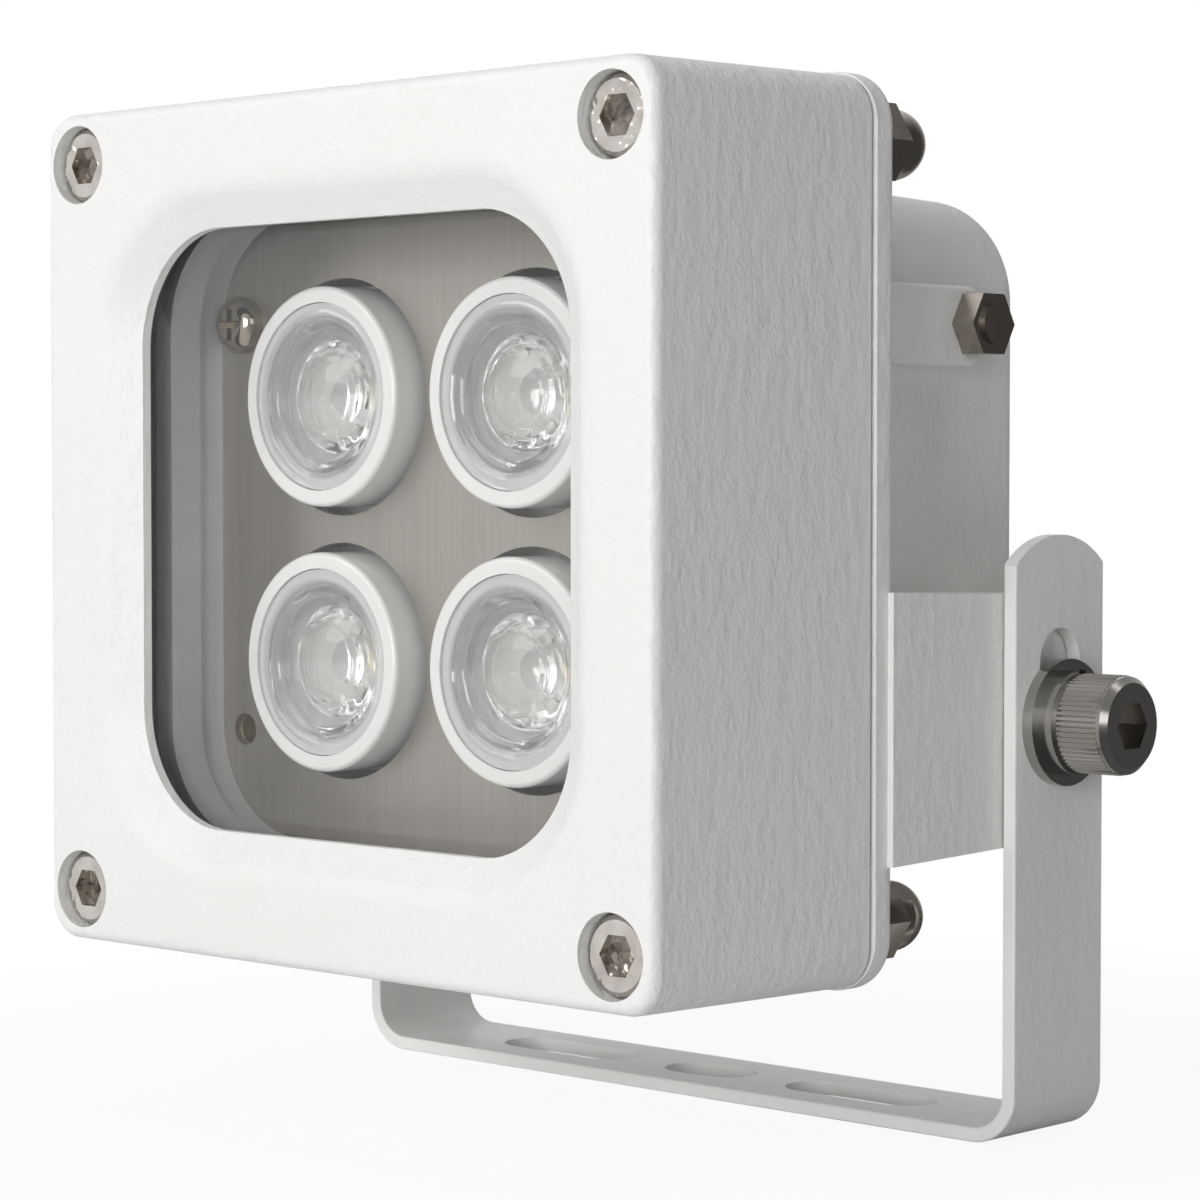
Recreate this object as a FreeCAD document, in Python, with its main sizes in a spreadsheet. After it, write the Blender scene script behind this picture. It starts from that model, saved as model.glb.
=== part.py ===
import FreeCAD, Part
import math
import os
import Sketcher

from FreeCAD import Rotation, Vector

# White light illuminator on a U bracket, in millimetres.
# X runs to the right seen from the front, Y to the rear and Z up.
# The origin is the centre of the bracket's underside, which bolts to a wall or a pole arm.

SIZES = {
    # U bracket, folded from painted strap
    "strap_width": 20.0,
    "strap_thick": 2.0,
    "strap_edge": 0.35,
    "bend_inner": 5.0,
    "pivot_height": 56.0,
    "arm_above_pivot": 25.0,
    "arm_end_radius": 14.5,
    "arm_slot_width": 9.0,
    "arm_slot_travel": 8.1,
    "base_slot_width": 9.0,
    "base_slot_long": 25.0,
    "base_slot_short": 15.0,
    "base_slot_offset": 28.0,
    "arm_play": 0.2,
    # Clamp screws and washers on the tilt axis
    "clamp_shank": 8.0,
    "clamp_length": 16.0,
    "clamp_head": 13.0,
    "clamp_head_height": 8.0,
    "clamp_head_edge": 0.8,
    "clamp_key": 6.0,
    "clamp_key_depth": 4.0,
    "flat_washer_outer": 17.0,
    "flat_washer_thick": 1.6,
    "spring_washer_outer": 14.2,
    "spring_washer_thick": 2.0,
    "spring_washer_gap": 1.4,
    "washer_bore_play": 0.4,
    "thread_play": 0.1,
    "spare_depth": 1.0,
    # Lamp head on its tilt axis
    "pivot_depth": 76.0,
    "head_rise": 25.5,
    # Front housing casting
    "face_width": 115.0,
    "housing_depth": 40.0,
    "housing_draft": 1.0,
    "housing_corner": 5.0,
    "housing_edge": 1.6,
    "lip_reach": 5.8,
    "window_corner": 16.0,
    "bevel_width": 5.3,
    "bevel_depth": 3.4,
    "bevel_round": 5.0,
    "lip_thick": 1.4,
    "pocket_wall": 11.0,
    "pocket_corner": 13.0,
    # Corner screws, washers and domed nuts
    "screw_inset": 7.1,
    "screw_shank": 6.0,
    "screw_engagement": 6.0,
    "screw_head": 10.0,
    "screw_head_height": 6.0,
    "screw_head_edge": 0.6,
    "screw_key": 5.0,
    "screw_key_depth": 3.0,
    "counterbore_play": 0.8,
    "counterbore_depth": 7.2,
    "screw_hole_play": 0.6,
    "nut_washer_outer": 12.0,
    "nut_washer_thick": 1.6,
    "nut_across": 10.0,
    "nut_hex_height": 5.0,
    "nut_height": 12.0,
    "nut_dome": 9.4,
    # Window gasket, glass and retainer
    "window_play": 0.3,
    "gasket_thick": 1.2,
    "gasket_set_back": 0.8,
    "glass_thick": 4.0,
    "glass_edge": 0.5,
    "retainer_height": 10.0,
    "retainer_step": 5.3,
    "retainer_set_back": 1.8,
    "retainer_relief": 0.7,
    "retainer_corner": 15.0,
    # Mask plate and the pillars that carry it
    "plate_thick": 1.2,
    "plate_hole_play": 2.5,
    "pillar_inset_across": 8.0,
    "pillar_inset_up": 18.0,
    "pillar_hex": 7.0,
    "pillar_height": 11.3,
    "pillar_stud": 4.0,
    "pillar_stud_length": 10.0,
    "pan_head": 8.0,
    "pan_height": 2.8,
    "pan_side": 1.5,
    "pan_crown": 4.4,
    "pan_round": 2.5,
    "pan_length": 7.0,
    "pan_hole_play": 0.5,
    "cross_width": 1.0,
    "cross_length": 4.4,
    "cross_depth": 1.6,
    # Lenses in their holders
    "lens_pitch": 36.2,
    "holder_outer": 30.0,
    "holder_height": 15.4,
    "holder_rim": 1.4,
    "holder_wall": 2.2,
    "holder_shelf": 1.2,
    "holder_shelf_drop": 1.8,
    "holder_foot_opening": 9.0,
    "lens_play": 0.1,
    "lens_flange_thick": 1.4,
    "lens_well_width": 15.6,
    "lens_well_depth": 2.6,
    "lens_dome_height": 2.2,
    "lens_foot": 8.4,
    "lens_body_height": 9.6,
    "lens_body_round": 24.0,
    "lens_ring": 1.3,
    "lens_step": 1.2,
    "lens_step_drop": 0.7,
    "lens_eye": 6.4,
    "lens_eye_top": 5.2,
    "lens_eye_depth": 4.0,
    # Light emitters and their board
    "emitter_width": 5.0,
    "emitter_base": 0.8,
    "emitter_dome": 3.0,
    "board_gap": 0.5,
    "board_corner": 3.0,
    "board_thick": 1.6,
    "lead_hole": 8.0,
    "board_screw_inset": 4.0,
    "small_shank": 3.0,
    "small_head": 5.6,
    "small_head_height": 2.0,
    "small_head_edge": 0.5,
    "board_screw_length": 4.4,
    # Heat spreader
    "spreader_thick": 4.0,
    "spreader_play": 1.5,
    # Housing seal and rear cover casting
    "seal_thick": 0.6,
    "seal_set_back": 3.0,
    "flange_overhang": 0.5,
    "flange_corner": 7.0,
    "flange_thick": 4.0,
    "flange_edge": 1.6,
    "box_inset": 8.0,
    "box_top_inset": 10.6,
    "box_bottom_inset": 14.0,
    "box_top_corner": 16.0,
    "box_bottom_corner": 8.0,
    "box_depth": 40.4,
    "box_draft": 2.0,
    "box_wall": 3.0,
    "box_root_round": 3.2,
    "box_rear_round": 3.0,
    "boss_stand": 0.9,
    "boss_rise": 18.0,
    "boss_drop": 17.0,
    "boss_slope": 1.2,
    "boss_behind": 8.0,
    "boss_edge": 1.0,
    "post_width": 9.0,
    "post_web": 3.0,
    "web_bury": 2.5,
    "driver_post": 7.0,
    "driver_post_height": 10.0,
    "driver_hole_inset": 7.0,
    # Earth terminal on its cast ledge
    "ledge_reach": 2.7,
    "ledge_low": 21.9,
    "ledge_high": 32.6,
    "ledge_length": 27.5,
    "ledge_end_round": 3.0,
    "ledge_edge": 1.0,
    "earth_back": 24.6,
    "earth_up": 27.5,
    "earth_shank": 5.0,
    "earth_length": 5.0,
    "earth_across": 8.0,
    "earth_head_height": 3.5,
    "earth_button": 5.4,
    "earth_button_height": 0.5,
    # Cable gland under the rear box
    "gland_back": 16.4,
    "gland_stand": 1.5,
    "gland_pad": 26.0,
    "gland_thread": 16.0,
    "gland_stub": 6.5,
    "gland_across": 20.0,
    "gland_hex_height": 5.0,
    "gland_seal_outer": 20.0,
    "gland_seal_thick": 1.0,
    "gland_neck": 15.6,
    "gland_neck_length": 6.0,
    "gland_bore": 9.0,
    "gland_nut_height": 8.0,
    "gland_nut_lip": 2.0,
    "gland_nut_edge": 1.5,
    "bush_outer": 12.0,
    "bush_inner": 8.0,
    "bush_length": 7.0,
    "bush_play": 0.1,
    # Driver board inside the rear box
    "driver_width": 70.0,
    "driver_height": 50.0,
    "driver_thick": 1.6,
    "driver_screw_length": 8.0,
    "terminal_width": 15.0,
    "terminal_height": 10.0,
    "terminal_depth": 12.0,
    "choke_width": 20.0,
    "choke_depth": 14.0,
    "choke_inset": 15.0,
    "capacitor_width": 10.0,
    "capacitor_depth": 16.0,
    "capacitor_inset": 14.0,
    "capacitor_up": 9.0,
    "lead_width": 1.6,
    "lead_across": 2.2,
    "lead_bend": 2.6,
    "lead_reach": 8.0,
    "lead_lift": 0.2,
}

# Sizes that follow from the others, kept on the same sheet
FOLLOWING = {
    "pocket_width": "face_width - 2 * pocket_wall",
    "window_width": "pocket_width - 2 * lip_reach",
    "screw_pitch": "face_width - 2 * screw_inset",
    "nut_start": "housing_depth + seal_thick + flange_thick + nut_washer_thick",
    "screw_length": "nut_start + screw_engagement - counterbore_depth",
    "nut_bore_depth": "screw_engagement + 2 * spare_depth",
    "retainer_front_opening": "window_width + 2 * retainer_set_back",
    "retainer_rear_opening": "retainer_front_opening + 2 * retainer_relief",
    "plate_hole": "holder_outer + plate_hole_play",
    "pillar_across": "pocket_width / 2 - pillar_inset_across",
    "pillar_up": "pocket_width / 2 - pillar_inset_up",
    "pillar_bore_depth": "pan_length - plate_thick + spare_depth",
    "board_width": "2 * (pillar_across - pillar_hex / sqrt(3) - board_gap)",
    "board_screw_offset": "board_width / 2 - board_screw_inset",
    "flange_width": "face_width + 2 * housing_depth * tan(housing_draft) + 2 * flange_overhang",
    "box_width": "face_width - 2 * box_inset",
    "box_top": "face_width / 2 - box_top_inset",
    "box_bottom": "face_width / 2 - box_bottom_inset",
    "boss_face_width": "flange_width + 2 * boss_stand",
    "clamp_stack": "arm_play + strap_thick + flat_washer_thick + spring_washer_thick",
    "clamp_hole_depth": "clamp_length - clamp_stack + spare_depth",
    "earth_hole_depth": "earth_length + spare_depth",
    "web_reach": "box_width / 2 - web_bury",
    "driver_post_across": "driver_width / 2 - driver_hole_inset",
    "driver_post_up": "driver_height / 2 - driver_hole_inset",
    "choke_across": "driver_width / 2 - choke_inset",
    "capacitor_across": "driver_width / 2 - capacitor_inset",
    "gland_face": "box_bottom + gland_stand",
}

doc = FreeCAD.newDocument("white_light_illuminator")
sheet = doc.addObject("Spreadsheet::Sheet", "dims")
rows = list(SIZES.items()) + [(alias, f"={formula}") for alias, formula in FOLLOWING.items()]
for row, (alias, size) in enumerate(rows, start=1):
    sheet.set(f"A{row}", alias)
    sheet.set(f"B{row}", str(size))
    sheet.setAlias(f"B{row}", alias)
doc.recompute()

# Depths behind the front face, each seat worked out from the one before it
LIP_REAR = "(dims.bevel_depth + dims.lip_thick)"
GLASS_FRONT = f"({LIP_REAR} + dims.gasket_thick)"
GLASS_REAR = f"({GLASS_FRONT} + dims.glass_thick)"
PLATE_FRONT = f"({GLASS_REAR} + dims.retainer_height)"
PLATE_REAR = f"({PLATE_FRONT} + dims.plate_thick)"
SPREADER_FRONT = f"({PLATE_REAR} + dims.pillar_height)"
BOARD_FRONT = f"({SPREADER_FRONT} - dims.board_thick)"
POST_FRONT = f"({SPREADER_FRONT} + dims.spreader_thick)"
FLANGE_FRONT = "(dims.housing_depth + dims.seal_thick)"
FLANGE_REAR = f"({FLANGE_FRONT} + dims.flange_thick)"
BOX_REAR = f"({FLANGE_REAR} + dims.box_depth)"
BOX_FLOOR = f"({BOX_REAR} - dims.box_wall)"
DRIVER_REAR = f"({BOX_FLOOR} - dims.driver_post_height)"
DRIVER_FRONT = f"({DRIVER_REAR} - dims.driver_thick)"
RIM_FRONT = f"({BOARD_FRONT} - dims.holder_height)"
SHELF_FRONT = f"({RIM_FRONT} + dims.holder_shelf_drop)"

# Distances along the tilt axis, outwards from the middle
BOSS_FACE = "(dims.boss_face_width / 2)"
ARM_INNER = f"({BOSS_FACE} + dims.arm_play)"
ARM_OUTER = f"({ARM_INNER} + dims.strap_thick)"
FLAT_WASHER_OUTER_FACE = f"({ARM_OUTER} + dims.flat_washer_thick)"
CLAMP_SEAT = f"({FLAT_WASHER_OUTER_FACE} + dims.spring_washer_thick)"
CLAMP_TOP = f"({CLAMP_SEAT} + dims.clamp_head_height)"
LEDGE_FACE = "(dims.box_width / 2 + dims.ledge_reach)"

# Heights above the middle of the window
PIVOT_UP = "-dims.head_rise"
GLAND_FACE = "-dims.gland_face"
GLAND_DEPTH = f"({FLANGE_REAR} + dims.gland_back)"
EARTH_DEPTH = f"({FLANGE_REAR} + dims.earth_back)"

# Two limits closer than this count as the same when edges are picked out
CLOSE = 0.1

bodies = []


def number(expression):
    """The value of an expression on the sheet's sizes."""
    return float(sheet.evalExpression(str(expression)))


def new_body(name, on_head=True, across="0", up="0"):
    """A body for one piece; head pieces are placed from the middle of the front face."""
    body = doc.addObject("PartDesign::Body", name)
    body.Label = name
    if on_head:
        body.setExpression(".Placement.Base.x", across)
        body.setExpression(".Placement.Base.y", "-dims.pivot_depth")
        body.setExpression(".Placement.Base.z", f"dims.pivot_height + dims.head_rise + {up}")
    bodies.append(body)
    return body


def plane(body, role):
    return next(item for item in body.Origin.OriginFeatures if item.Role == role)


def new_sketch(body, role, out="0", across="0", up="0"):
    """A sketch on one of the body's own planes, moved out along the normal and in the plane."""
    sketch = body.newObject("Sketcher::SketchObject", f"{body.Name}_sketch")
    sketch.AttachmentSupport = (plane(body, role), [""])
    sketch.MapMode = "FlatFace"
    for letter, expression in (("x", across), ("y", up), ("z", out)):
        if expression != "0":
            sketch.setExpression(f".AttachmentOffset.Base.{letter}", expression)
    return sketch


def front_sketch(body, depth="0", across="0", up="0"):
    """A sketch parallel to the front face, at a depth behind it."""
    out = "0" if depth == "0" else f"-({depth})"
    return new_sketch(body, "XZ_Plane", out, across, up)


def rule(*arguments):
    """A geometric constraint, with no dimension of its own."""
    return Sketcher.Constraint(*arguments), None


def measure(expression, *arguments):
    """A dimension of a sketch that follows an expression."""
    return Sketcher.Constraint(*arguments, number(expression)), expression


def pin(shape, point, across, up):
    """The two distances from the sketch's origin that place a point."""
    rules = []
    for kind, axis, expression in (("DistanceX", -2, across), ("DistanceY", -1, up)):
        if expression == "0":
            rules.append(rule("PointOnObject", shape, point, axis))
        else:
            rules.append(measure(expression, kind, -1, 1, shape, point))
    return rules


def constrain(sketch, rules):
    """Add constraints to a sketch together, and bind the dimensions among them."""
    first = sketch.ConstraintCount
    sketch.addConstraint([constraint for constraint, expression in rules])
    for index, (constraint, expression) in enumerate(rules, start=first):
        if expression is not None:
            sketch.setExpression(f"Constraints[{index}]", expression)


def draw_outline(sketch, corners, arcs=None):
    """A closed outline through corners; arcs maps a side's index to its radius and side.

    The side is 1 where the arc's centre lies to the left of the way round, or -1 to the right.
    A sketch counts an arc's ends anticlockwise, so an arc turning right has them swapped.
    """
    arcs = arcs or {}
    places = [Vector(number(across), number(up), 0) for across, up in corners]
    ends = []
    for side, start in enumerate(places):
        finish = places[(side + 1) % len(places)]
        if side in arcs:
            radius, turn = arcs[side]
            half = (finish - start) / 2
            left = Vector(-half.y, half.x, 0).normalize()
            rise = math.sqrt(max(number(radius) ** 2 - half.Length ** 2, 0))
            top = start + half - left * turn * (number(radius) - rise)
            shape = sketch.addGeometry(Part.Arc(start, top, finish))
            ends.append((shape, 1, 2) if turn > 0 else (shape, 2, 1))
        else:
            ends.append((sketch.addGeometry(Part.LineSegment(start, finish)), 1, 2))
    rules = []
    for side, (shape, first, last) in enumerate(ends):
        following = ends[(side + 1) % len(ends)]
        rules.append(rule("Coincident", shape, last, following[0], following[1]))
        rules += pin(shape, first, *corners[side])
        if side in arcs:
            rules.append(measure(arcs[side][0], "Radius", shape))
    constrain(sketch, rules)


def draw_panel(sketch, left, right, bottom, top, low_corner, high_corner):
    """A rectangle with rounded corners, its lower and upper pairs each of one radius."""
    corners = [
        (f"{left} + {low_corner}", bottom),
        (f"{right} - {low_corner}", bottom),
        (right, f"{bottom} + {low_corner}"),
        (right, f"{top} - {high_corner}"),
        (f"{right} - {high_corner}", top),
        (f"{left} + {high_corner}", top),
        (left, f"{top} - {high_corner}"),
        (left, f"{bottom} + {low_corner}"),
    ]
    arcs = {1: (low_corner, 1), 3: (high_corner, 1), 5: (high_corner, 1), 7: (low_corner, 1)}
    draw_outline(sketch, corners, arcs)


def draw_square(sketch, width, corner):
    """A square with rounded corners about the sketch's origin."""
    half = f"({width}) / 2"
    draw_panel(sketch, f"-{half}", half, f"-{half}", half, corner, corner)


def draw_block(sketch, left, right, bottom, top):
    draw_outline(sketch, [(left, bottom), (right, bottom), (right, top), (left, top)])


def draw_circle(sketch, diameter, across="0", up="0"):
    centre = Vector(number(across), number(up), 0)
    shape = sketch.addGeometry(Part.Circle(centre, Vector(0, 0, 1), number(diameter) / 2))
    constrain(sketch, pin(shape, 3, across, up) + [measure(diameter, "Diameter", shape)])


def draw_four_circles(sketch, diameter, across, up):
    for side in ("", "-"):
        for level in ("", "-"):
            draw_circle(sketch, diameter, f"{side}({across})", f"{level}({up})")


def draw_hexagon(sketch, across_flats):
    tip = f"({across_flats}) / sqrt(3)"
    flat = f"({across_flats}) / 2"
    half_tip = f"{tip} / 2"
    draw_outline(sketch, [
        (tip, "0"),
        (half_tip, flat),
        (f"-{half_tip}", flat),
        (f"-{tip}", "0"),
        (f"-{half_tip}", f"-{flat}"),
        (half_tip, f"-{flat}"),
    ])


def draw_slot(sketch, width, length, across="0", up="0", upright=False):
    """A round-ended slot about a centre, along the sketch's X or, when upright, its Y."""
    reach = number(f"({length} - {width}) / 2")
    radius = number(width) / 2
    along = Vector(0, 1, 0) if upright else Vector(1, 0, 0)
    beside = Vector(-along.y, along.x, 0)
    centre = Vector(number(across), number(up), 0)
    near, far = centre - along * reach, centre + along * reach
    low = sketch.addGeometry(Part.LineSegment(near - beside * radius, far - beside * radius))
    end = sketch.addGeometry(Part.Arc(far - beside * radius, far + along * radius,
                                      far + beside * radius))
    high = sketch.addGeometry(Part.LineSegment(far + beside * radius, near + beside * radius))
    start = sketch.addGeometry(Part.Arc(near + beside * radius, near - along * radius,
                                        near - beside * radius))
    rules = [rule("Tangent", first, 2, second, 1)
             for first, second in ((low, end), (end, high), (high, start), (start, low))]
    rules.append(rule("Equal", end, start))
    rules.append(measure(f"{width} / 2", "Radius", end))
    travel = f"({length} - {width}) / 2"
    for shape, sign in ((start, "-"), (end, "+")):
        if upright:
            rules += pin(shape, 3, across, f"{up} {sign} {travel}")
        else:
            rules += pin(shape, 3, f"{across} {sign} {travel}", up)
    constrain(sketch, rules)


def shape_feature(body, kind, sketch, length=None, reverse=False, both=False, taper=None):
    feature = body.newObject(f"PartDesign::{kind}", f"{body.Name}_{kind.lower()}")
    feature.Profile = sketch
    if length is None:
        feature.Type = "ThroughAll"
    else:
        feature.setExpression("Length", length)
    if both:
        feature.SideType = "Symmetric"
    feature.Reversed = reverse
    if taper is not None:
        feature.setExpression("TaperAngle", taper)
    doc.recompute()
    return feature


def pad(body, sketch, length, **options):
    return shape_feature(body, "Pad", sketch, length, **options)


def pocket(body, sketch, length=None, **options):
    return shape_feature(body, "Pocket", sketch, length, **options)


def revolve(body, sketch, axis="V_Axis"):
    feature = body.newObject("PartDesign::Revolution", f"{body.Name}_turn")
    feature.Profile = sketch
    feature.ReferenceAxis = (sketch, [axis])
    feature.Angle = 360
    doc.recompute()
    return feature


def edges_where(feature, keep):
    """Names of the edges whose box of limits passes a test."""
    return [f"Edge{count}" for count, edge in enumerate(feature.Shape.Edges, start=1)
            if keep(edge.BoundBox)]


def flat_at(low, high, place, slack=1e-4):
    return abs(low - place) < slack and abs(high - place) < slack


def soften(body, kind, edges, size):
    """Round or bevel chosen edges of the body's last feature."""
    base = body.Tip
    feature = body.newObject(f"PartDesign::{kind}", f"{body.Name}_{kind.lower()}")
    feature.Base = (base, edges)
    feature.setExpression("Radius" if kind == "Fillet" else "Size", size)
    doc.recompute()
    return feature


def mirror(body, role):
    """Repeat the whole body across one of its planes, as a second solid."""
    feature = body.newObject("PartDesign::Mirrored", f"{body.Name}_mirror")
    feature.TransformMode = "Whole shape"
    feature.MirrorPlane = (plane(body, role), [""])
    body.Tip = feature
    doc.recompute()


def turn_copies(body, count):
    """Repeat the whole body around the window's axis."""
    feature = body.newObject("PartDesign::PolarPattern", f"{body.Name}_round")
    feature.TransformMode = "Whole shape"
    feature.Axis = (plane(body, "Y_Axis"), [""])
    feature.Angle = 360
    feature.Occurrences = count
    body.Tip = feature
    doc.recompute()


def build_bracket():
    """The strap folded into a U, with slots in its base and a slot in each arm."""
    body = new_body("u_bracket", on_head=False)
    outer_bend = "(dims.bend_inner + dims.strap_thick)"
    arm_top = "(dims.pivot_height + dims.arm_above_pivot)"
    sketch = new_sketch(body, "XZ_Plane")
    flat = f"({ARM_OUTER} - {outer_bend})"
    corners = [
        (f"-{flat}", "0"),
        (flat, "0"),
        (ARM_OUTER, outer_bend),
        (ARM_OUTER, arm_top),
        (ARM_INNER, arm_top),
        (ARM_INNER, outer_bend),
        (flat, "dims.strap_thick"),
        (f"-{flat}", "dims.strap_thick"),
        (f"-{ARM_INNER}", outer_bend),
        (f"-{ARM_INNER}", arm_top),
        (f"-{ARM_OUTER}", arm_top),
        (f"-{ARM_OUTER}", outer_bend),
    ]
    outside, inside = (outer_bend, 1), ("dims.bend_inner", -1)
    draw_outline(sketch, corners, {1: outside, 5: inside, 7: inside, 11: outside})
    pad(body, sketch, "dims.strap_width", both=True)

    # The rounded end of each arm
    half = "dims.strap_width / 2"
    sagitta = "(dims.arm_end_radius - sqrt(dims.arm_end_radius^2 - (dims.strap_width / 2)^2))"
    shoulder = f"{arm_top} - {sagitta}"
    above = f"{arm_top} + dims.strap_thick"
    sketch = new_sketch(body, "YZ_Plane")
    draw_outline(sketch, [(half, shoulder), (f"-{half}", shoulder), (f"-{half}", above), (half, above)],
                 {0: ("dims.arm_end_radius", 1)})
    pocket(body, sketch, both=True)
    side = number(half)
    long_edges = edges_where(body.Tip, lambda box: (flat_at(box.YMin, box.YMax, side)
                                                    or flat_at(box.YMin, box.YMax, -side))
                             and box.DiagonalLength > 2 * number("dims.strap_thick"))
    soften(body, "Fillet", long_edges, "dims.strap_edge")

    sketch = new_sketch(body, "YZ_Plane")
    draw_slot(sketch, "dims.arm_slot_width", "(dims.arm_slot_travel + dims.arm_slot_width)",
              "0", "dims.pivot_height + dims.arm_slot_travel / 2", upright=True)
    pocket(body, sketch, both=True)

    sketch = new_sketch(body, "XY_Plane")
    for place in ("-dims.base_slot_offset", "dims.base_slot_offset"):
        draw_slot(sketch, "dims.base_slot_width", "dims.base_slot_long", place)
    draw_slot(sketch, "dims.base_slot_width", "dims.base_slot_short")
    pocket(body, sketch, both=True)


def place_on_axis(body, left):
    """Put a piece turned along +X on the tilt axis, and turn it round for the left side."""
    body.setExpression(".Placement.Base.z", "dims.pivot_height")
    if left:
        body.Placement.Rotation = Rotation(Vector(0, 0, 1), 180)


def build_clamp(side, left):
    """The washers and the cap screw that clamp one arm to the head."""
    body = new_body(f"flat_washer_{side}", on_head=False)
    sketch = new_sketch(body, "YZ_Plane", ARM_OUTER)
    draw_circle(sketch, "dims.flat_washer_outer")
    draw_circle(sketch, "dims.clamp_shank + dims.washer_bore_play")
    pad(body, sketch, "dims.flat_washer_thick")
    place_on_axis(body, left)

    body = new_body(f"spring_washer_{side}", on_head=False)
    sketch = new_sketch(body, "YZ_Plane", FLAT_WASHER_OUTER_FACE)
    draw_circle(sketch, "dims.spring_washer_outer")
    draw_circle(sketch, "dims.clamp_shank + dims.washer_bore_play")
    pad(body, sketch, "dims.spring_washer_thick")
    sketch = new_sketch(body, "YZ_Plane", FLAT_WASHER_OUTER_FACE)
    gap = "dims.spring_washer_gap / 2"
    draw_block(sketch, f"-{gap}", gap, "0", "dims.spring_washer_outer")
    pocket(body, sketch, "dims.spring_washer_thick", reverse=True)
    place_on_axis(body, left)

    body = new_body(f"clamp_screw_{side}", on_head=False)
    shank = "dims.clamp_shank / 2"
    head = "dims.clamp_head / 2"
    edge = "dims.clamp_head_edge"
    tip = f"({CLAMP_SEAT} - dims.clamp_length)"
    sketch = new_sketch(body, "XY_Plane")
    draw_outline(sketch, [
        (tip, "0"),
        (CLAMP_TOP, "0"),
        (CLAMP_TOP, f"{head} - {edge}"),
        (f"{CLAMP_TOP} - {edge}", head),
        (CLAMP_SEAT, head),
        (CLAMP_SEAT, shank),
        (f"{tip} + {edge}", shank),
        (tip, f"{shank} - {edge}"),
    ])
    revolve(body, sketch, "H_Axis")
    sketch = new_sketch(body, "YZ_Plane", CLAMP_TOP)
    draw_hexagon(sketch, "dims.clamp_key")
    pocket(body, sketch, "dims.clamp_key_depth")
    place_on_axis(body, left)


def build_front_housing():
    """The square casting: drafted sides, a bevelled window and a pocket from behind."""
    body = new_body("front_housing")
    sketch = front_sketch(body)
    draw_square(sketch, "dims.face_width", "dims.housing_corner")
    pad(body, sketch, "dims.housing_depth", reverse=True, taper="dims.housing_draft")
    rim = edges_where(body.Tip, lambda box: flat_at(box.YMin, box.YMax, 0))
    soften(body, "Fillet", rim, "dims.housing_edge")

    bevel_outer = "dims.window_width + 2 * dims.bevel_width"
    sketch = front_sketch(body)
    draw_square(sketch, bevel_outer, "(dims.window_corner + dims.bevel_width)")
    pocket(body, sketch, "dims.bevel_depth", taper="-atan(dims.bevel_width / dims.bevel_depth)")
    reach = number(f"({bevel_outer}) / 2") + CLOSE
    brim = edges_where(body.Tip, lambda box: flat_at(box.YMin, box.YMax, 0)
                       and max(abs(box.XMin), box.XMax, abs(box.ZMin), box.ZMax) < reach)
    soften(body, "Fillet", brim, "dims.bevel_round")

    sketch = front_sketch(body)
    draw_square(sketch, "dims.window_width", "dims.window_corner")
    pocket(body, sketch)
    sketch = front_sketch(body, "dims.housing_depth")
    draw_square(sketch, "dims.pocket_width", "dims.pocket_corner")
    pocket(body, sketch, f"dims.housing_depth - {LIP_REAR}", reverse=True)

    place = "dims.screw_pitch / 2"
    sketch = front_sketch(body)
    draw_four_circles(sketch, "dims.screw_head + dims.counterbore_play", place, place)
    pocket(body, sketch, "dims.counterbore_depth")
    sketch = front_sketch(body)
    draw_four_circles(sketch, "dims.screw_shank + dims.screw_hole_play", place, place)
    pocket(body, sketch)


def build_window():
    """Gasket, glass and the frame that presses the glass forwards."""
    outer = "(dims.pocket_width - 2 * dims.window_play)"
    outer_corner = "(dims.pocket_corner - dims.window_play)"

    def frame(name, depth, thick, opening, corner):
        body = new_body(name)
        sketch = front_sketch(body, depth)
        draw_square(sketch, outer, outer_corner)
        if opening:
            draw_square(sketch, opening, corner)
        pad(body, sketch, thick, reverse=True)
        return body

    opening = "(dims.window_width + 2 * dims.gasket_set_back)"
    frame("window_gasket", LIP_REAR, "dims.gasket_thick", opening,
          "(dims.window_corner + dims.gasket_set_back)")
    glass = frame("window_glass", GLASS_FRONT, "dims.glass_thick", None, None)
    front, rear = number(GLASS_FRONT), number(GLASS_REAR)
    rims = edges_where(glass.Tip, lambda box: flat_at(box.YMin, box.YMax, front)
                       or flat_at(box.YMin, box.YMax, rear))
    soften(glass, "Chamfer", rims, "dims.glass_edge")

    retainer = frame("glass_retainer", GLASS_REAR, "dims.retainer_height",
                     "dims.retainer_front_opening", "dims.retainer_corner")
    step = "(dims.retainer_rear_opening - dims.retainer_front_opening) / 2"
    sketch = front_sketch(retainer, PLATE_FRONT)
    draw_square(sketch, "dims.retainer_rear_opening", f"(dims.retainer_corner + {step})")
    pocket(retainer, sketch, "dims.retainer_height - dims.retainer_step", reverse=True)


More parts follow.
